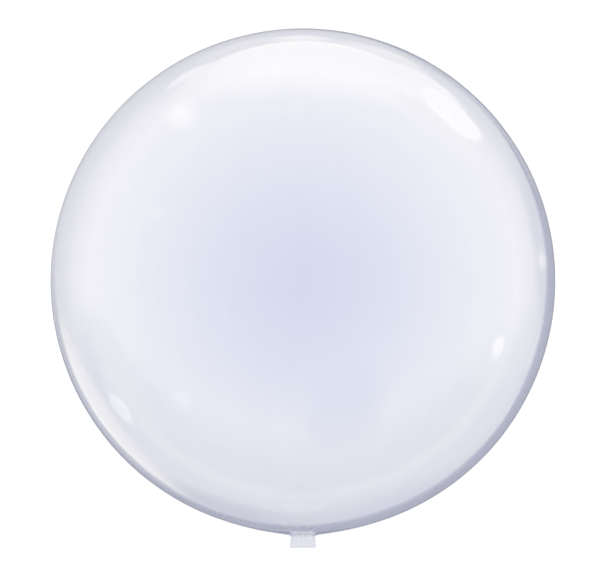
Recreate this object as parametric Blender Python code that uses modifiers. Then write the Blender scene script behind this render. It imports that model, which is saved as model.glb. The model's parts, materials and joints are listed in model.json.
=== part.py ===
"""Clear bubble balloon: clear film blown into a ball, with a gathered neck that ends in a flat welded tail.

The balloon lies on a small flat spot. The origin is the middle of that spot, +Z is up, and the neck droops
towards -Y until its tail hangs just clear of the surface. The film is one sealed piece, so it is one solid.
"""

import math

import bmesh
import bpy

# Ball, in metres
BALL_DIAMETER = 0.560
REST_SPOT_RADIUS = 0.032

# Neck: the ball flares into it, and its film is gathered in pleats
FLARE_REACH = 0.090
FLARE_HEIGHT = 0.0065
FLARE_POWER = 1.25
THROAT_RADIUS = 0.011
PLEAT_COUNT = 18
PLEAT_DEPTH = 0.0024
PLEAT_REACH = 0.048
ROUND_NECK_RADIUS = 0.028

# Tail: the end of the neck, pressed flat and welded shut
TAIL_PROJECTION = 0.017
TAIL_WIDTH = 0.028
TAIL_THICKNESS = 0.002
WELD_LENGTH = 0.007
TAIL_CLEARANCE = 0.0088

# Facets
SEGMENTS = 4 * PLEAT_COUNT
FACET_ANGLE = math.radians(5)
FLARE_RINGS = 10
THROAT_RINGS = 3
EDGE_STEEPNESS = 12
MERGE_DISTANCE = 0.00001

# Clear film
FILM_COLOUR = (0.83, 0.86, 0.96, 1.0)
FILM_ROUGHNESS = 0.04
FILM_IOR = 1.45

BALL_RADIUS = BALL_DIAMETER / 2
CENTRE_HEIGHT = math.sqrt(BALL_RADIUS**2 - REST_SPOT_RADIUS**2)
TIP_DEPTH = BALL_RADIUS + TAIL_PROJECTION
WELD_DEPTH = TIP_DEPTH - WELD_LENGTH


def clear_scene():
    for old in list(bpy.data.objects):
        bpy.data.objects.remove(old, do_unlink=True)


def new_collection(name):
    collection = bpy.data.collections.new(name)
    bpy.context.scene.collection.children.link(collection)
    return collection


def film_material():
    material = bpy.data.materials.new("clear_film")
    material.use_nodes = True
    shader = material.node_tree.nodes["Principled BSDF"]
    shader.inputs["Base Color"].default_value = FILM_COLOUR
    shader.inputs["Roughness"].default_value = FILM_ROUGHNESS
    shader.inputs["Metallic"].default_value = 0.0
    shader.inputs["IOR"].default_value = FILM_IOR
    shader.inputs["Transmission Weight"].default_value = 1.0
    return material


def ease(share):
    """0 to 1 with a soft start and end."""
    share = min(max(share, 0.0), 1.0)
    return share * share * (3 - 2 * share)


def blend(start, end, share):
    return start + (end - start) * share


def flare_depth(radius):
    """How far below the ball's centre the film lies at this distance from the neck's axis."""
    at_reach = (THROAT_RADIUS / FLARE_REACH) ** FLARE_POWER
    rise = ((THROAT_RADIUS / radius) ** FLARE_POWER - at_reach) / (1 - at_reach)
    return math.sqrt(BALL_RADIUS**2 - radius**2) + FLARE_HEIGHT * rise


def outline():
    """(radius, height) down the outer side, from the crown to the middle of the tail's tip."""
    ball_arc = math.pi - math.asin(FLARE_REACH / BALL_RADIUS)
    ball_rings = round(ball_arc / FACET_ANGLE)
    points = []
    for ring in range(ball_rings):
        angle = ball_arc * ring / ball_rings
        points.append((BALL_RADIUS * math.sin(angle), BALL_RADIUS * math.cos(angle)))
    for ring in range(FLARE_RINGS + 1):
        radius = FLARE_REACH * (THROAT_RADIUS / FLARE_REACH) ** (ring / FLARE_RINGS)
        points.append((radius, -flare_depth(radius)))
    throat_depth = flare_depth(THROAT_RADIUS)
    for ring in range(THROAT_RINGS):
        depth = blend(throat_depth, WELD_DEPTH, (ring + 1) / THROAT_RINGS)
        points.append((THROAT_RADIUS, -depth))
    points.append((THROAT_RADIUS, -TIP_DEPTH))
    points.append((0.0, -TIP_DEPTH))
    return points


def turned_film():
    """The outline turned round the neck's axis, as a mesh."""
    mesh = bpy.data.meshes.new("outline")
    bm = bmesh.new()
    corners = [bm.verts.new((radius, 0.0, height)) for radius, height in outline()]
    for upper, lower in zip(corners, corners[1:]):
        bm.edges.new((upper, lower))
    bm.to_mesh(mesh)
    bm.free()
    guide = bpy.data.objects.new("outline", mesh)
    bpy.context.scene.collection.objects.link(guide)
    screw = guide.modifiers.new("turn", "SCREW")
    screw.axis = "Z"
    screw.angle = math.tau
    screw.steps = SEGMENTS
    screw.render_steps = SEGMENTS
    screw.use_merge_vertices = True
    screw.merge_threshold = MERGE_DISTANCE
    view = bpy.context.evaluated_depsgraph_get()
    turned = bpy.data.meshes.new_from_object(guide.evaluated_get(view), depsgraph=view)
    bpy.data.objects.remove(guide, do_unlink=True)
    return turned


def pleat_depth(radius, depth, angle):
    """How far a gathered valley sinks below the smooth flare. Ridges stay on the flare."""
    gathered = ease((PLEAT_REACH - radius) / (PLEAT_REACH - THROAT_RADIUS))
    throat_depth = flare_depth(THROAT_RADIUS)
    pressed = ease((depth - throat_depth) / (WELD_DEPTH - throat_depth))
    valley = (1 - math.cos(PLEAT_COUNT * angle)) / 2
    return PLEAT_DEPTH * gathered * (1 - pressed) * valley


def pressed_flat(x, y, depth):
    """The round neck's point, moved towards the flat tail's outline by how far down the neck it is."""
    start = flare_depth(ROUND_NECK_RADIUS)
    share = ease((depth - start) / (WELD_DEPTH - start))
    angle = math.atan2(y, x)
    flat_x = TAIL_WIDTH / 2 * math.cos(angle)
    rise = min(EDGE_STEEPNESS * abs(math.sin(angle)), 1.0)
    flat_y = math.copysign(TAIL_THICKNESS / 2 * rise, math.sin(angle))
    return blend(x, flat_x, share), blend(y, flat_y, share)


def gather_neck(mesh):
    """Pleats the flare and presses the end of the neck flat."""
    bm = bmesh.new()
    bm.from_mesh(mesh)
    bm.normal_update()
    for vertex in bm.verts:
        radius = math.hypot(vertex.co.x, vertex.co.y)
        depth = -vertex.co.z
        on_axis = radius < MERGE_DISTANCE
        if depth < 0 or on_axis or radius > PLEAT_REACH:
            continue
        angle = math.atan2(vertex.co.y, vertex.co.x)
        vertex.co -= vertex.normal * pleat_depth(radius, depth, angle)
        vertex.co.x, vertex.co.y = pressed_flat(vertex.co.x, vertex.co.y, depth)
    bm.to_mesh(mesh)
    bm.free()


def neck_droop():
    """The neck's angle below level, at which the tail's lower corner has its clearance."""
    half_thickness = TAIL_THICKNESS / 2
    corner_distance = math.hypot(TIP_DEPTH, half_thickness)
    corner_angle = math.atan2(half_thickness, TIP_DEPTH)
    return math.asin((CENTRE_HEIGHT - TAIL_CLEARANCE) / corner_distance) - corner_angle


def make_surface_cutter(collection):
    """A block under the surface, which cuts the flat spot."""
    bpy.ops.mesh.primitive_cube_add(size=1.0)
    cutter = bpy.context.object
    cutter.name = "surface_cutter"
    cutter.scale = (BALL_DIAMETER, BALL_DIAMETER, BALL_RADIUS)
    cutter.location = (0.0, 0.0, -BALL_RADIUS / 2)
    for user in list(cutter.users_collection):
        user.objects.unlink(cutter)
    collection.objects.link(cutter)
    cutter.hide_render = True
    cutter.display_type = "WIRE"
    return cutter


def make_balloon(collection, cutter):
    mesh = turned_film()
    mesh.name = "balloon"
    gather_neck(mesh)
    mesh.materials.clear()
    mesh.materials.append(film_material())
    mesh.shade_smooth()
    balloon = bpy.data.objects.new("balloon", mesh)
    collection.objects.link(balloon)
    balloon.location = (0.0, 0.0, CENTRE_HEIGHT)
    balloon.rotation_euler = (neck_droop() - math.pi / 2, 0.0, 0.0)
    spot = balloon.modifiers.new("flat_spot", "BOOLEAN")
    spot.operation = "DIFFERENCE"
    spot.solver = "EXACT"
    spot.object = cutter
    return balloon


def main():
    clear_scene()
    parts = new_collection("bubble_balloon")
    cutters = new_collection("cutters")
    make_balloon(parts, make_surface_cutter(cutters))


main()
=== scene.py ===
"""Clear bubble balloon: the looks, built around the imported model.

The film is one thin closed skin: a blown ball, a pleated neck and a flat welded tail. The stage is a plain
white floor under soft studio light, with a room and cards that only the balloon's gloss can see.
"""

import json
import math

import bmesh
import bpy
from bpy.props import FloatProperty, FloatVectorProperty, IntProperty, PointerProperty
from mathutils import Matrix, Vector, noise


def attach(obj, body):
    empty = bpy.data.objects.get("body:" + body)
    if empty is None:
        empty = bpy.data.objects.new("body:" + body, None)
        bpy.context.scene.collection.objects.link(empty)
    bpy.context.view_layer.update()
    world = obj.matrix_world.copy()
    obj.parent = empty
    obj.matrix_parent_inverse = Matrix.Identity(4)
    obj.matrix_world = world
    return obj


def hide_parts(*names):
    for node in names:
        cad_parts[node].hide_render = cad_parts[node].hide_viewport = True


bl_info = {
    "name": "Clear Bubble Balloon",
    "version": (1, 0, 0),
    "blender": (4, 5, 0),
    "location": "View3D > Sidebar > Bubble Balloon",
    "description": "Builds a clear film balloon and its white studio",
    "category": "Object",
}

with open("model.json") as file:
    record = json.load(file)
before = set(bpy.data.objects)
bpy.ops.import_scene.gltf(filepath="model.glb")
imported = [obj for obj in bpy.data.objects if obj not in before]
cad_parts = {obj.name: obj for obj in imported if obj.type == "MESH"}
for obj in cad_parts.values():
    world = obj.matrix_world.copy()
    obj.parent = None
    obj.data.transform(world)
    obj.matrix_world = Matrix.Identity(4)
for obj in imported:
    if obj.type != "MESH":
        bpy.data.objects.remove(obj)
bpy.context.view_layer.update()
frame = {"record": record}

TAIL_MOUNT = next(mount for mount in frame["record"]["mounts"] if mount["name"] == "tail")

# The picture, and the ball's middle and radius in it, in pixels
IMAGE_WIDTH = 600
IMAGE_HEIGHT = 564
PICTURE_MIDDLE = (302.96, 280.87)
PICTURE_RADIUS = 252.45

WHITE = (1.0, 1.0, 1.0, 1.0)


class Signal:
    """A node socket that works in Python expressions."""

    def __init__(self, graph, socket):
        self.graph = graph
        self.socket = socket

    def __add__(self, other):
        return self.graph.maths("ADD", self, other)

    def __radd__(self, other):
        return self.graph.maths("ADD", other, self)

    def __sub__(self, other):
        return self.graph.maths("SUBTRACT", self, other)

    def __rsub__(self, other):
        return self.graph.maths("SUBTRACT", other, self)

    def __mul__(self, other):
        return self.graph.maths("MULTIPLY", self, other)

    def __rmul__(self, other):
        return self.graph.maths("MULTIPLY", other, self)

    def __truediv__(self, other):
        return self.graph.maths("DIVIDE", self, other)

    def __rtruediv__(self, other):
        return self.graph.maths("DIVIDE", other, self)

    def __pow__(self, other):
        return self.graph.maths("POWER", self, other)


class Graph:
    """The nodes of one material, emptied at the start."""

    def __init__(self, material):
        material.use_nodes = True
        self.tree = material.node_tree
        self.tree.nodes.clear()

    def put(self, socket, value):
        """Links a signal to a socket, or sets the socket's own value."""
        if isinstance(value, Signal):
            self.tree.links.new(value.socket, socket)
        else:
            socket.default_value = value

    def node(self, kind, settings=None, values=(), output=0):
        """Adds a node. Values are a list in socket order, or a dict by socket name or number."""
        made = self.tree.nodes.new(kind)
        for name, setting in (settings or {}).items():
            if name == "stops":
                self.set_stops(made.color_ramp, setting)
            else:
                setattr(made, name, setting)
        pairs = values.items() if isinstance(values, dict) else enumerate(values)
        for key, value in pairs:
            self.put(made.inputs[key], value)
        return Signal(self, made.outputs[output])

    @staticmethod
    def set_stops(ramp, stops):
        while len(ramp.elements) > 1:
            ramp.elements.remove(ramp.elements[-1])
        for index, (position, colour) in enumerate(stops):
            element = ramp.elements[0] if index == 0 else ramp.elements.new(position)
            element.position = position
            element.color = colour

    def place(self):
        """The point's place in its object's own coordinates."""
        return self.node("ShaderNodeTexCoord", output="Object")

    def maths(self, operation, *values):
        return self.node("ShaderNodeMath", {"operation": operation}, values)

    def vector(self, operation, *values):
        return self.node("ShaderNodeVectorMath", {"operation": operation}, values)

    def axis(self, vector, name):
        """One axis of a vector, as a number."""
        return self.node("ShaderNodeSeparateXYZ", values=[vector], output=name)

    def between(self, value, start, full):
        """0 at the start and 1 where it is full, with soft ends."""
        return self.node(
            "ShaderNodeMapRange",
            {"interpolation_type": "SMOOTHSTEP"},
            {"Value": value, "From Min": start, "From Max": full},
        )

    def mixed(self, share, colour, other):
        """One colour turning into the other by a share."""
        return self.node("ShaderNodeMix", {"data_type": "RGBA"}, {0: share, 6: colour, 7: other}, output=2)

    def ramp(self, share, stops):
        return self.node("ShaderNodeValToRGB", {"stops": stops}, {"Fac": share})

    def surface(self, shader):
        """Ends the graph with the shader on the material's surface."""
        out = self.tree.nodes.new("ShaderNodeOutputMaterial")
        self.put(out.inputs["Surface"], shader)


class FilmSettings(bpy.types.PropertyGroup):
    """Sizes and colours of the balloon's film."""

    ball_diameter: FloatProperty(
        name="Ball diameter", description="Across the blown ball",
        default=0.560, unit="LENGTH",
    )
    rest_spot_radius: FloatProperty(
        name="Rest spot radius", description="Radius of the flat that it lies on",
        default=0.032, unit="LENGTH",
    )
    flare_reach: FloatProperty(
        name="Flare reach", description="Where the ball starts to run out to the neck",
        default=0.090, unit="LENGTH",
    )
    flare_height: FloatProperty(
        name="Flare height", description="How far the flare stands beyond the ball",
        default=0.0065, unit="LENGTH",
    )
    flare_power: FloatProperty(
        name="Flare power", description="How sharply the flare turns down",
        default=1.25,
    )
    throat_radius: FloatProperty(
        name="Throat radius", description="Radius of the gathered neck",
        default=0.011, unit="LENGTH",
    )
    pleats: IntProperty(
        name="Pleats", description="Large gathers round the neck",
        default=18,
    )
    pleat_depth: FloatProperty(
        name="Pleat depth", description="Depth of a large gather",
        default=0.0024, unit="LENGTH",
    )
    pleat_reach: FloatProperty(
        name="Pleat reach", description="How far out the large gathers run",
        default=0.048, unit="LENGTH",
    )
    creases: IntProperty(
        name="Creases", description="Small creases round the neck",
        default=47,
    )
    crease_depth: FloatProperty(
        name="Crease depth", description="Depth of a small crease",
        default=0.00035, unit="LENGTH",
    )
    crease_reach: FloatProperty(
        name="Crease reach", description="How far out the small creases run",
        default=0.105, unit="LENGTH",
    )
    round_neck_radius: FloatProperty(
        name="Round neck radius", description="Where the neck starts to flatten",
        default=0.028, unit="LENGTH",
    )
    tail_projection: FloatProperty(
        name="Tail projection", description="How far the tail stands beyond the ball",
        default=0.017, unit="LENGTH",
    )
    tail_width: FloatProperty(
        name="Tail width", description="Across the welded tail",
        default=0.028, unit="LENGTH",
    )
    tail_thickness: FloatProperty(
        name="Tail thickness", description="Both layers at the weld",
        default=0.002, unit="LENGTH",
    )
    weld_length: FloatProperty(
        name="Weld length", description="Along the welded strip",
        default=0.007, unit="LENGTH",
    )
    weld_ribs: IntProperty(
        name="Weld ribs", description="Pressed lines across the weld",
        default=5,
    )
    ripple_depth: FloatProperty(
        name="Ripple depth", description="Unevenness of the blown film",
        default=0.00012, unit="LENGTH",
    )
    ripple_length: FloatProperty(
        name="Ripple length", description="Size of the film's unevenness",
        default=0.045, unit="LENGTH",
    )
    core_tint: FloatVectorProperty(
        name="Core tint", description="Periwinkle where it is seen straight on",
        default=(0.632, 0.666, 0.823), size=3, subtype="COLOR",
    )
    # The pale tint is a painted reflection: the film is lightened at a slant in place of the bright
    # surroundings it would reflect
    pale_reflection_tint: FloatVectorProperty(
        name="Pale tint", description="Pearly white where it is seen at a slant",
        default=(0.760, 0.766, 0.832), size=3, subtype="COLOR",
    )
    # The rim tint is partly the film's deeper tint along its longer path edge on, and partly painted shade at
    # the edge
    rim_shade_tint: FloatVectorProperty(
        name="Rim tint", description="Slate where it is seen edge on",
        default=(0.598, 0.608, 0.707), size=3, subtype="COLOR",
    )
    weld_tint: FloatVectorProperty(
        name="Weld tint", description="The pressed weld",
        default=(0.800, 0.815, 0.870), size=3, subtype="COLOR",
    )
    gloss: FloatProperty(
        name="Gloss", description="Index of refraction of the glossy face",
        default=1.9,
    )
    sheen: FloatProperty(
        name="Sheen", description="White bloom towards the rim",
        default=0.15, subtype="FACTOR",
    )
    sheen_spread: FloatProperty(
        name="Sheen spread", description="How far the bloom reaches in",
        default=0.35, subtype="FACTOR",
    )
    haze: FloatProperty(
        name="Haze", description="Roughness of the film",
        default=0.02, subtype="FACTOR",
    )
    # The tint at the rim is partly painted edge shade
    rim_matt: FloatProperty(
        name="Rim line", description="How far the gloss gives way to the tint at the rim",
        default=0.6, subtype="FACTOR",
    )
    streaks: FloatProperty(
        name="Streaks", description="Unevenness of the tint along the film's stretch",
        default=0.03, subtype="FACTOR",
    )


class StageSettings(bpy.types.PropertyGroup):
    """The camera's distance and the studio's lights."""

    camera_distance: FloatProperty(
        name="Camera distance", description="From the ball's middle",
        default=3.0, unit="LENGTH",
    )
    floor_glow: FloatProperty(
        name="Floor glow", description="Brightness of the floor's own light",
        default=0.90,
    )
    sky_glow: FloatProperty(
        name="Surroundings", description="Brightness of the white surroundings",
        default=1.05,
    )
    lamp_power: FloatProperty(
        name="Lamp power", description="Power of the overhead softbox",
        default=15.0, unit="POWER",
    )


# Film

SEGMENTS = 252
BALL_RINGS = 90
FLARE_RINGS = 34
THROAT_RINGS = 8
RINGS_PER_RIB = 4
MERGE_DISTANCE = 0.00001
EDGE_STEEPNESS = 12
RIB_DEPTH = 0.3

# Waves round the neck, with size, count and phase: how the small creases wander, and how deep they are
CREASE_WANDER = [(2.2, 3, 1.0), (1.4, 5, 0.0)]
CREASE_MEAN = 0.55
CREASE_SWING = (0.45, 7, 0.6)

# The film's finer unevenness, against the main one: its height and how much closer it is
FINE_RIPPLE_HEIGHT = 0.4
FINE_RIPPLE_PACE = 2.6

# The film's tint by its slant to the eye: the share of pale over core, of rim over that, and the brightness.
# The pale share is a painted reflection that lightens the film towards the rim. The rim share and the falling
# brightness are slate at the edge: partly the film's deeper tint along its longer path, partly painted shade.
TINT_STOPS = [
    (0.00, 0.00, 0.00, 1.00),
    (0.02, 0.18, 0.00, 1.00),
    (0.08, 0.40, 0.00, 1.00),
    (0.20, 0.64, 0.00, 1.00),
    (0.40, 1.00, 0.00, 1.00),
    (0.47, 1.00, 0.00, 1.00),
    (0.56, 1.00, 0.40, 1.00),
    (0.66, 1.00, 0.80, 1.00),
    (0.76, 1.00, 1.00, 1.00),
    (0.81, 1.00, 1.00, 0.92),
    (0.86, 1.00, 1.00, 0.84),
    (0.93, 1.00, 1.00, 0.62),
]

# The slants at which the gloss starts to give way to the rim line, the slate tint that is partly painted edge
# shade, and has given way
RIM_LINE = (0.78, 0.92)

# Streaks and clouds in the film
STREAKS_ROUND = 9.0
STREAKS_ALONG = 4.0
STREAK_NOISE = {"Scale": 1.6, "Detail": 4.0, "Roughness": 0.6}
CLOUD_NOISE = {"Scale": 7.0, "Detail": 2.0}
STREAK_SHARE = 0.7
STREAK_RELIEF = {"Strength": 0.2, "Distance": 0.0002}
COAT_MEAN = 0.98
COAT_SWING = 0.16
HAZE_SWING = 0.02

# Where the weld's tone starts and is full, in metres past the weld's start, and how far its grooves are
# darkened towards the slate rim tint
WELD_BLEND = (-0.003, 0.0005)
GROOVE_SHARE = 0.45

# Where the weld's slate cut edge starts and is full, in metres past its edge, and how strong it is. The slate
# cut edge is painted edge shade that outlines the tail
CUT_EDGE_BLEND = (-0.0012, -0.0003)
CUT_EDGE_SHARE = 0.9


def ease(share):
    """0 to 1 with a soft start and end."""
    share = min(max(share, 0.0), 1.0)
    return share * share * (3 - 2 * share)


def mix(start, end, share):
    return start + (end - start) * share


def wave(size, count, phase, angle):
    return size * math.sin(count * angle + phase)


class FilmShape:
    """The film's outline and gathers, with the neck pointing down."""

    def __init__(self, settings):
        self.s = settings
        self.radius = settings.ball_diameter / 2
        self.tip_depth = self.radius + settings.tail_projection
        self.weld_depth = self.tip_depth - settings.weld_length
        self.throat_depth = self.flare_depth(settings.throat_radius)
        self.round_depth = self.flare_depth(settings.round_neck_radius)
        self.centre_height = math.sqrt(self.radius**2 - settings.rest_spot_radius**2)

    def flare_depth(self, radius):
        """How far below the ball's middle the film lies at this distance from the neck's axis."""
        s = self.s
        at_reach = (s.throat_radius / s.flare_reach) ** s.flare_power
        rise = ((s.throat_radius / radius) ** s.flare_power - at_reach) / (1 - at_reach)
        return math.sqrt(self.radius**2 - radius**2) + s.flare_height * rise

    def outline(self):
        """(radius, height) down the outer side, from the crown to the middle of the tail's tip."""
        s = self.s
        ball_arc = math.pi - math.asin(s.flare_reach / self.radius)
        points = []
        for ring in range(BALL_RINGS):
            angle = ball_arc * ring / BALL_RINGS
            points.append((self.radius * math.sin(angle), self.radius * math.cos(angle)))
        for ring in range(FLARE_RINGS + 1):
            radius = s.flare_reach * (s.throat_radius / s.flare_reach) ** (ring / FLARE_RINGS)
            points.append((radius, -self.flare_depth(radius)))
        for ring in range(THROAT_RINGS):
            depth = mix(self.throat_depth, self.weld_depth, (ring + 1) / THROAT_RINGS)
            points.append((s.throat_radius, -depth))
        weld_rings = RINGS_PER_RIB * s.weld_ribs
        for ring in range(weld_rings):
            depth = mix(self.weld_depth, self.tip_depth, (ring + 1) / weld_rings)
            points.append((s.throat_radius, -depth))
        points.append((0.0, -self.tip_depth))
        return points

    def gather(self, radius, depth, angle):
        """How far a valley sinks below the smooth flare. Small creases run between the large ones."""
        s = self.s
        pressed = ease((depth - self.throat_depth) / (self.weld_depth - self.throat_depth))
        near = ease((s.pleat_reach - radius) / (s.pleat_reach - s.throat_radius))
        valley = (1 - math.cos(s.pleats * angle)) / 2
        wander = s.creases * angle + sum(wave(*each, angle) for each in CREASE_WANDER)
        uneven = CREASE_MEAN + wave(*CREASE_SWING, angle)
        fading = ease((s.crease_reach - radius) / (s.crease_reach - s.pleat_reach))
        fine = fading * ease(radius / s.round_neck_radius)
        crease = s.crease_depth * fine * uneven * math.sin(wander)
        return (s.pleat_depth * near * valley + crease) * (1 - pressed)

    def pressed_flat(self, x, y, depth):
        """A point of the round neck, moved towards the flat tail by how far down the neck it is."""
        s = self.s
        share = ease((depth - self.round_depth) / (self.weld_depth - self.round_depth))
        angle = math.atan2(y, x)
        rise = min(EDGE_STEEPNESS * abs(math.sin(angle)), 1.0)
        flat_x = s.tail_width / 2 * math.cos(angle)
        flat_y = math.copysign(s.tail_thickness / 2 * rise * self.rib(depth), math.sin(angle))
        return mix(x, flat_x, share), mix(y, flat_y, share)

    def rib(self, depth):
        """The weld's thickness here, as a share of the tail's."""
        if depth <= self.weld_depth:
            return 1.0
        along = (depth - self.weld_depth) / self.s.weld_length
        return 1 - RIB_DEPTH * (1 - math.cos(math.tau * self.s.weld_ribs * along)) / 2


def neck_droop():
    """The neck's angle below level, from the tail's mount on its broad side."""
    facing = TAIL_MOUNT["axis"]
    return math.atan2(-facing[1], facing[2])


def spun_outline(points):
    """A closed skin turned round Z from an outline."""
    bm = bmesh.new()
    corners = [bm.verts.new((radius, 0.0, height)) for radius, height in points]
    edges = [bm.edges.new(pair) for pair in zip(corners, corners[1:])]
    bmesh.ops.spin(
        bm,
        geom=corners + edges,
        cent=(0.0, 0.0, 0.0),
        axis=(0.0, 0.0, 1.0),
        angle=math.tau,
        steps=SEGMENTS,
        use_merge=True,
        use_duplicate=False,
    )
    bmesh.ops.remove_doubles(bm, verts=bm.verts[:], dist=MERGE_DISTANCE)
    bmesh.ops.recalc_face_normals(bm, faces=bm.faces[:])
    return bm


def gather_neck(bm, shape):
    """Creases and pleats the flare, and presses the end of the neck flat."""
    bm.normal_update()
    for vertex in bm.verts:
        radius = math.hypot(vertex.co.x, vertex.co.y)
        depth = -vertex.co.z
        if depth < 0 or radius < MERGE_DISTANCE or radius > shape.s.crease_reach:
            continue
        angle = math.atan2(vertex.co.y, vertex.co.x)
        vertex.co -= vertex.normal * shape.gather(radius, depth, angle)
        vertex.co.x, vertex.co.y = shape.pressed_flat(vertex.co.x, vertex.co.y, depth)


def ripple_film(bm, settings):
    """Leaves the film very slightly uneven."""
    bm.normal_update()
    for vertex in bm.verts:
        place = vertex.co / settings.ripple_length
        rise = noise.noise(place) + FINE_RIPPLE_HEIGHT * noise.noise(place * FINE_RIPPLE_PACE)
        vertex.co += vertex.normal * rise * settings.ripple_depth


def lay_on_spot(bm, shape):
    """Turns the neck down towards -Y, lifts the ball and presses its lowest part flat."""
    turn = Matrix.Rotation(neck_droop() - math.pi / 2, 4, "X")
    lift = Matrix.Translation((0.0, 0.0, shape.centre_height))
    bmesh.ops.transform(bm, matrix=lift @ turn, verts=bm.verts[:])
    bmesh.ops.bisect_plane(
        bm,
        geom=bm.verts[:] + bm.edges[:] + bm.faces[:],
        dist=MERGE_DISTANCE,
        plane_co=(0.0, 0.0, 0.0),
        plane_no=(0.0, 0.0, 1.0),
    )
    for vertex in bm.verts:
        vertex.co.z = max(vertex.co.z, 0.0)


def new_object(name, bm):
    mesh = bpy.data.meshes.new(name)
    bm.to_mesh(mesh)
    bm.free()
    made = bpy.data.objects.new(name, mesh)
    bpy.context.scene.collection.objects.link(made)
    return made


def blend_colours(start, end, share):
    return tuple(mix(a, b, share) for a, b in zip(start, end))


def film_tints(settings):
    """Ramp stops from the film seen straight on to the film seen edge on: its own periwinkle, then a painted
    pale reflection at a slant, then a slate edge that is partly painted shade.
    """
    stops = []
    for slant, reflection_share, rim_shade_share, brightness in TINT_STOPS:
        tint = blend_colours(settings.core_tint, settings.pale_reflection_tint, reflection_share)
        tint = blend_colours(tint, settings.rim_shade_tint, rim_shade_share)
        stops.append((slant, (*[value * brightness for value in tint], 1.0)))
    return stops


class FilmPlace:
    """Where a point of the film lies, measured from the ball's middle with the neck pointing down."""

    def __init__(self, graph, shape):
        self.graph = graph
        self.spot = graph.place()
        from_middle = graph.vector("SUBTRACT", self.spot, (0.0, 0.0, shape.centre_height))
        self.turned = graph.node(
            "ShaderNodeVectorRotate",
            {"rotation_type": "X_AXIS"},
            {"Vector": from_middle, "Angle": math.pi / 2 - neck_droop()},
        )
        self.across = graph.axis(self.turned, "X")
        self.depth = graph.axis(self.turned, "Z") * -1.0

    def round_neck(self):
        """Coordinates that run slowly along the film's stretch and fast round the neck."""
        level = self.graph.vector("MULTIPLY", self.turned, (1.0, 1.0, 0.0))
        outward = self.graph.vector("NORMALIZE", level)
        along = self.graph.vector("MULTIPLY", self.turned, (0.0, 0.0, STREAKS_ALONG))
        return self.graph.vector("MULTIPLY_ADD", outward, (STREAKS_ROUND, STREAKS_ROUND, 0.0), along)


def weld_tone(graph, where, settings, shape):
    """The pressed weld: frosted ridges, grooves darkened towards slate, and a slate cut edge of painted edge
    shade.
    """
    along = (where.depth - shape.weld_depth) / settings.weld_length
    groove = 0.5 - graph.maths("COSINE", along * (math.tau * settings.weld_ribs)) * 0.5
    side = graph.maths("ABSOLUTE", where.across) - settings.tail_width / 2
    edge = graph.maths("MAXIMUM", side, where.depth - shape.tip_depth)
    edge = graph.between(edge, *CUT_EDGE_BLEND)
    # The slate here is the rim's shade tint, painted along the tail's cut edge and mixed into the grooves
    weld, rim = (*settings.weld_tint, 1.0), (*settings.rim_shade_tint, 1.0)
    ridges = graph.mixed(groove * GROOVE_SHARE, weld, rim)
    return graph.mixed(edge * CUT_EDGE_SHARE, ridges, rim)


def film_material(settings, shape):
    """Clear glossy film. Its body is too thin to bend light, and its gloss is a coat over it."""
    material = bpy.data.materials.new("clear_film")
    graph = Graph(material)
    where = FilmPlace(graph, shape)
    welded = graph.between(where.depth, *[shape.weld_depth + past for past in WELD_BLEND])
    streak = graph.node("ShaderNodeTexNoise", values={"Vector": where.round_neck(), **STREAK_NOISE})
    cloud = graph.node("ShaderNodeTexNoise", values={"Vector": where.spot, **CLOUD_NOISE})
    uneven = streak * STREAK_SHARE + cloud * (1 - STREAK_SHARE) - 0.5
    slant = graph.node("ShaderNodeLayerWeight", values={"Blend": 0.5}, output="Facing")
    # The tint ramp paints a pale reflection towards the rim and slate shade at the edge, over the film's own
    # periwinkle
    rim = graph.between(slant, *RIM_LINE)
    body = graph.node(
        "ShaderNodeVectorMath",
        {"operation": "SCALE"},
        {"Vector": graph.ramp(slant, film_tints(settings)), "Scale": 1.0 + uneven * (2.0 * settings.streaks)},
    )
    shader = graph.node(
        "ShaderNodeBsdfPrincipled",
        values={
            "Base Color": graph.mixed(welded, body, weld_tone(graph, where, settings, shape)),
            "Roughness": settings.haze + cloud * HAZE_SWING,
            "Metallic": 0.0,
            "IOR": 1.0,
            "Normal": graph.node("ShaderNodeBump", values={"Height": streak, **STREAK_RELIEF}),
            "Transmission Weight": 1.0,
            "Coat Weight": (COAT_MEAN + uneven * COAT_SWING) * (1.0 - rim * settings.rim_matt),
            "Coat Roughness": settings.haze,
            "Coat IOR": settings.gloss,
            "Sheen Weight": settings.sheen,
            "Sheen Roughness": settings.sheen_spread,
            "Sheen Tint": WHITE,
        },
    )
    graph.surface(shader)
    return material


class BALLOON_OT_film(bpy.types.Operator):
    """Builds the blown film with its neck and welded tail"""

    bl_idname = "bubble_balloon.film"
    bl_label = "Film Balloon"

    def execute(self, context):
        settings = context.scene.balloon_film
        shape = FilmShape(settings)
        bm = spun_outline(shape.outline())
        gather_neck(bm, shape)
        ripple_film(bm, settings)
        lay_on_spot(bm, shape)
        film = new_object("film_balloon", bm)
        film.data.shade_smooth()
        film.data.materials.append(film_material(settings, shape))
        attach(film, "root")
        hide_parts("balloon")
        return {"FINISHED"}


# Stage

FLOOR_RADIUS = 30.0
FLOOR_DROP = 0.0002
FLOOR_SIDES = 96
FLOOR_TONE = (0.15, 0.15, 0.15, 1.0)
VIEW_LIMIT = 60.0
SENSOR_WIDTH = 36.0
SOFTBOX_SIZE = 3.0
SOFTBOX_HEIGHT = 3.5
ROOM_RADIUS = 25.0
ROOM_SEGMENTS = 64

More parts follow.
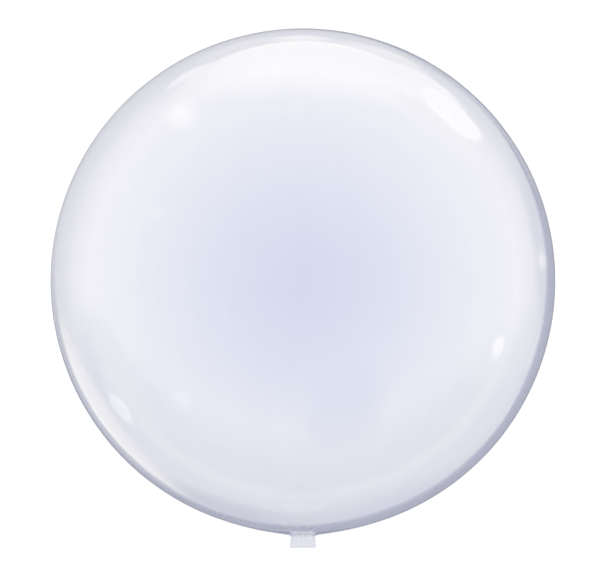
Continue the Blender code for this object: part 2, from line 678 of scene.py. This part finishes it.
# Tones of the surroundings, from straight behind the balloon at 0 to the camera at 1
ROOM_STOPS = [
    (0.02, (0.82, 0.82, 0.84, 1.0)),
    (0.09, (0.87, 0.86, 0.82, 1.0)),
    (0.13, (1.00, 0.98, 0.92, 1.0)),
    (0.17, (1.14, 1.12, 1.02, 1.0)),
    (0.23, (1.30, 1.28, 1.14, 1.0)),
    (0.40, (1.26, 1.25, 1.18, 1.0)),
    (0.54, (1.38, 1.34, 1.18, 1.0)),
    (0.67, (1.20, 1.18, 1.12, 1.0)),
    (0.77, (1.14, 1.12, 1.08, 1.0)),
    (0.86, (0.92, 0.90, 0.88, 1.0)),
    (1.00, (0.65, 0.66, 0.72, 1.0)),
]

# The same under the balloon, with faint rings
LOW_STOPS = [
    (0.06, (0.80, 0.80, 0.80, 1.0)),
    (0.11, (0.86, 0.86, 0.86, 1.0)),
    (0.17, (0.94, 0.94, 0.92, 1.0)),
    (0.22, (0.86, 0.87, 0.88, 1.0)),
    (0.26, (0.74, 0.77, 0.79, 1.0)),
    (0.30, (0.82, 0.85, 0.85, 1.0)),
    (0.35, (0.66, 0.70, 0.74, 1.0)),
    (0.40, (0.50, 0.55, 0.62, 1.0)),
    (0.43, (0.66, 0.70, 0.74, 1.0)),
    (0.47, (0.60, 0.65, 0.71, 1.0)),
    (0.54, (0.92, 0.92, 0.93, 1.0)),
    (0.67, (1.35, 1.30, 1.20, 1.0)),
    (0.77, (1.22, 1.20, 1.14, 1.0)),
    (0.88, (0.86, 0.86, 0.88, 1.0)),
]

# Where the low tones start and where they are full, by how steeply a direction points down
LOW_EDGE = (0.20, 0.65)

# The bright top's edge: azimuth, elevation, where it is full and where it ends, in degrees
TOP_EDGE = (1.0, 60.0, 41.5, 43.7)

# Soft round patches, each with those four angles and a tone: first inside the bright top, then outside it
TOP_PATCHES = [
    (5.0, 33.0, 12.0, 39.0, (1.94, 1.90, 1.62, 1.0)),
    (42.0, 27.0, 8.0, 24.0, (1.55, 1.52, 1.36, 1.0)),
]
BAND_PATCHES = [
    (13.0, 14.5, 2.0, 10.0, (1.38, 1.35, 1.22, 1.0)),
    (-8.0, 15.0, 3.0, 12.0, (1.12, 1.10, 1.02, 1.0)),
    (0.0, 13.0, 0.5, 6.0, (1.50, 1.46, 1.32, 1.0)),
]

# Patches over all of that, the last one on top
ROOM_PATCHES = [
    (26.0, 19.5, 6.0, 10.3, (1.80, 1.77, 1.62, 1.0)),
    (45.0, 30.0, 6.0, 17.0, (1.40, 1.37, 1.24, 1.0)),
    (28.0, 32.5, 2.0, 9.0, (1.86, 1.82, 1.62, 1.0)),
    (-22.0, 18.5, 1.5, 6.0, (1.70, 1.66, 1.52, 1.0)),
    (-79.0, -33.0, 5.0, 23.0, (0.70, 0.71, 0.74, 1.0)),
    (160.0, -37.0, 0.0, 19.0, (0.80, 0.83, 0.90, 1.0)),
    (158.5, -48.5, 0.0, 17.0, (0.84, 0.86, 0.92, 1.0)),
    (-22.0, -64.0, 5.0, 16.0, (0.48, 0.50, 0.58, 1.0)),
    (25.0, -66.0, 5.0, 20.0, (0.68, 0.70, 0.78, 1.0)),
    (160.6, -23.6, 0.0, 19.0, (0.73, 0.75, 0.84, 1.0)),
    (40.0, -13.2, 4.0, 15.0, (0.72, 0.73, 0.78, 1.0)),
    (-41.0, -40.0, 6.0, 18.0, (1.42, 1.37, 1.22, 1.0)),
    (-4.5, -33.0, 20.5, 26.5, (0.42, 0.44, 0.54, 1.0)),
    (-16.0, -16.0, 4.0, 15.0, (0.85, 0.86, 0.90, 1.0)),
    (2.0, -4.0, 4.0, 14.0, (0.88, 0.88, 0.90, 1.0)),
    (8.0, -38.0, 18.5, 26.0, (0.11, 0.14, 0.27, 1.0)),
    (14.9, -27.6, 20.4, 26.2, (0.11, 0.14, 0.27, 1.0)),
    (15.0, -6.0, 0.0, 9.0, (0.56, 0.58, 0.66, 1.0)),
    (19.0, -12.5, 0.0, 5.5, (0.40, 0.42, 0.50, 1.0)),
]

# Cards: name, roundness, azimuth, elevation, width round the view, depth along it, glow, softness, and the
# wall of the ball that shows them. The angles are in degrees.
CARDS = [
    ("key_card", 2.5, 40.6, 24.6, 19.6, 22.0, 2.0, 0.2, "front"),
    ("fill_card", 2.0, -48.6, 39.2, 13.0, 34.0, 1.95, 1.0, "front"),
    ("side_card", 2.0, -96.6, 29.7, 11.0, 16.0, 1.5, 1.0, "front"),
    ("low_side_card", 2.0, 48.4, -13.4, 6.0, 20.0, 1.35, 1.0, "front"),
    ("far_key_card", 2.0, 36.6, 4.9, 8.5, 14.0, 2.4, 0.35, "back"),
    ("far_top_card", 2.0, 65.7, 38.6, 15.0, 20.0, 1.8, 1.0, "back"),
    ("far_fill_card", 2.0, -56.6, 3.1, 7.5, 11.0, 2.5, 0.5, "back"),
]
CARD_DISTANCE = 3.0
CARD_COLOUR = (1.03, 1.01, 0.88, 1.0)


def hide_but_in_gloss(made, wall="front"):
    """Lets only the film's gloss see it, on the wall towards the viewer or on the far wall."""
    made.visible_camera = False
    made.visible_diffuse = False
    made.visible_shadow = False
    made.visible_glossy = wall == "front"
    made.visible_transmission = wall == "back"


def sky_direction(azimuth, elevation):
    """Azimuth 0 is behind the ball, 90 to its right."""
    turn = math.radians(azimuth)
    rise = math.radians(elevation)
    return Vector((math.sin(turn) * math.cos(rise), math.cos(turn) * math.cos(rise), math.sin(rise)))


class Surroundings:
    """Builds up the tone that lies in each direction from the ball."""

    def __init__(self, graph, forward):
        self.graph = graph
        self.way = graph.vector("NORMALIZE", graph.place())
        self.depth = (self.towards(-forward) + 1) * 0.5

    def towards(self, direction):
        """1 in this direction, 0 at right angles to it and -1 opposite."""
        return self.graph.node(
            "ShaderNodeVectorMath", {"operation": "DOT_PRODUCT"}, [self.way, direction], output="Value"
        )

    def patch(self, azimuth, elevation, full, end):
        near = self.towards(sky_direction(azimuth, elevation))
        return self.graph.between(near, math.cos(math.radians(end)), math.cos(math.radians(full)))

    def patched(self, tone, patches):
        """The tone with patches laid over it, one after the other."""
        for *place, patch_tone in patches:
            tone = self.graph.mixed(self.patch(*place), tone, patch_tone)
        return tone


def gloss_room_material(forward):
    """The soft surroundings that the film's gloss shows."""
    material = bpy.data.materials.new("gloss_room")
    graph = Graph(material)
    around = Surroundings(graph, forward)
    walls = graph.ramp(around.depth, ROOM_STOPS)
    top = around.patched(walls, TOP_PATCHES)
    band = around.patched(walls, BAND_PATCHES)
    tone = graph.mixed(around.patch(*TOP_EDGE), band, top)
    under = graph.between(around.towards(Vector((0.0, 0.0, -1.0))), *LOW_EDGE)
    tone = graph.mixed(under, tone, graph.ramp(around.depth, LOW_STOPS))
    tone = around.patched(tone, ROOM_PATCHES)
    graph.surface(graph.node("ShaderNodeEmission", values={"Color": tone, "Strength": 1.0}))
    return material


def card_material(name, roundness, glow, softness):
    """A warm white light that fades out at its edge. Its outline is an oval at 2 and fuller above that."""
    material = bpy.data.materials.new(name)
    graph = Graph(material)
    outward = graph.vector("ABSOLUTE", graph.place())
    across = graph.axis(outward, "X")
    along = graph.axis(outward, "Y")
    reach = (across**roundness + along**roundness) ** (1.0 / roundness)
    share = graph.between(reach, 1.0, 1.0 - softness)
    clear = graph.node("ShaderNodeBsdfTransparent")
    light = graph.node("ShaderNodeEmission", values={"Color": CARD_COLOUR, "Strength": glow})
    graph.surface(graph.node("ShaderNodeMixShader", values=[share, clear, light]))
    return material


def gloss_card(card, middle, forward):
    """A card that faces the ball, with its width round the line of sight."""
    name, roundness, azimuth, elevation, width, depth, glow, softness, wall = card
    bm = bmesh.new()
    bmesh.ops.create_grid(bm, x_segments=1, y_segments=1, size=1.0)
    made = new_object(name, bm)
    made.data.materials.append(card_material(name, roundness, glow, softness))
    away = sky_direction(azimuth, elevation)
    across = away.cross(forward).normalized()
    along = across.cross(away)
    turn = Matrix((across, along, away)).transposed().to_4x4()
    half = [CARD_DISTANCE * math.tan(math.radians(angle) / 2) for angle in (width, depth)]
    place = Matrix.Translation(middle + away * CARD_DISTANCE)
    made.matrix_world = place @ turn @ Matrix.Diagonal((*half, 1.0, 1.0))
    hide_but_in_gloss(made, wall)


def gloss_room(forward):
    """A large ball round everything, seen from inside."""
    bm = bmesh.new()
    bmesh.ops.create_uvsphere(bm, u_segments=ROOM_SEGMENTS, v_segments=ROOM_SEGMENTS // 2, radius=ROOM_RADIUS)
    bmesh.ops.reverse_faces(bm, faces=bm.faces[:])
    room = new_object("gloss_room", bm)
    room.data.materials.append(gloss_room_material(forward))
    hide_but_in_gloss(room)


def floor_material(glow):
    material = bpy.data.materials.new("white_floor")
    graph = Graph(material)
    shader = graph.node(
        "ShaderNodeBsdfPrincipled",
        values={
            "Base Color": FLOOR_TONE,
            "Roughness": 1.0,
            "Specular IOR Level": 0.0,
            "Emission Color": WHITE,
            "Emission Strength": glow,
        },
    )
    graph.surface(shader)
    return material


def white_floor(glow):
    """A plain round floor just under the balloon's flat spot. The film's gloss shows the room instead."""
    bm = bmesh.new()
    bmesh.ops.create_circle(bm, cap_ends=True, radius=FLOOR_RADIUS, segments=FLOOR_SIDES)
    bmesh.ops.translate(bm, vec=(0.0, 0.0, -FLOOR_DROP), verts=bm.verts[:])
    floor = new_object("white_floor", bm)
    floor.data.materials.append(floor_material(glow))
    floor.visible_glossy = False


def overhead_softbox(power):
    """A large soft light over the balloon. Its reflection is left to the cards."""
    data = bpy.data.lights.new("overhead_softbox", "AREA")
    data.shape = "DISK"
    data.size = SOFTBOX_SIZE
    data.energy = power
    lamp = bpy.data.objects.new("overhead_softbox", data)
    lamp.location = (0.0, 0.0, SOFTBOX_HEIGHT)
    bpy.context.scene.collection.objects.link(lamp)
    lamp.visible_camera = False
    lamp.visible_glossy = False
    lamp.visible_transmission = False


def add_camera(settings, middle, radius):
    """Places the camera square to the neck, and returns the direction in which it looks."""
    data = bpy.data.cameras.new("camera")
    camera = bpy.data.objects.new("camera", data)
    bpy.context.scene.collection.objects.link(camera)
    rise = math.pi / 2 - neck_droop()
    away = Vector((0.0, -math.cos(rise), math.sin(rise)))
    camera.location = middle + away * settings.camera_distance
    camera.rotation_euler = (-away).to_track_quat("-Z", "Y").to_euler()
    half_angle = math.asin(radius / settings.camera_distance)
    data.sensor_width = SENSOR_WIDTH
    data.lens = PICTURE_RADIUS / math.tan(half_angle) * SENSOR_WIDTH / IMAGE_WIDTH
    data.shift_x = (IMAGE_WIDTH / 2 - PICTURE_MIDDLE[0]) / IMAGE_WIDTH
    data.shift_y = (PICTURE_MIDDLE[1] - IMAGE_HEIGHT / 2) / IMAGE_WIDTH
    data.clip_end = VIEW_LIMIT
    bpy.context.scene.camera = camera
    return -away


def set_surroundings(glow):
    world = bpy.data.worlds.new("white_studio")
    bpy.context.scene.world = world
    world.use_nodes = True
    background = world.node_tree.nodes["Background"]
    background.inputs["Color"].default_value = WHITE
    background.inputs["Strength"].default_value = glow


class BALLOON_OT_stage(bpy.types.Operator):
    """Sets the white floor, the soft lights, the cards and the camera"""

    bl_idname = "bubble_balloon.stage"
    bl_label = "White Studio"

    def execute(self, context):
        scene = context.scene
        settings = scene.balloon_stage
        shape = FilmShape(scene.balloon_film)
        middle = Vector((0.0, 0.0, shape.centre_height))
        set_surroundings(settings.sky_glow)
        white_floor(settings.floor_glow)
        forward = add_camera(settings, middle, shape.radius)
        overhead_softbox(settings.lamp_power)
        gloss_room(forward)
        for card in CARDS:
            gloss_card(card, middle, forward)
        scene.view_settings.view_transform = "Standard"
        return {"FINISHED"}


class BALLOON_PT_panel(bpy.types.Panel):
    """Lists the balloon's operators and sizes"""

    bl_idname = "BALLOON_PT_panel"
    bl_label = "Bubble Balloon"
    bl_space_type = "VIEW_3D"
    bl_region_type = "UI"
    bl_category = "Bubble Balloon"

    def draw(self, context):
        layout = self.layout
        layout.operator(BALLOON_OT_film.bl_idname)
        layout.operator(BALLOON_OT_stage.bl_idname)
        for group in (context.scene.balloon_film, context.scene.balloon_stage):
            box = layout.box()
            for name in group.__annotations__:
                box.prop(group, name)


CLASSES = (FilmSettings, StageSettings, BALLOON_OT_film, BALLOON_OT_stage, BALLOON_PT_panel)


def register():
    for item in CLASSES:
        bpy.utils.register_class(item)
    bpy.types.Scene.balloon_film = PointerProperty(type=FilmSettings)
    bpy.types.Scene.balloon_stage = PointerProperty(type=StageSettings)


def unregister():
    del bpy.types.Scene.balloon_stage
    del bpy.types.Scene.balloon_film
    for item in reversed(CLASSES):
        bpy.utils.unregister_class(item)


def main():
    register()
    bpy.ops.bubble_balloon.film()
    bpy.ops.bubble_balloon.stage()


if __name__ == "__main__":
    main()
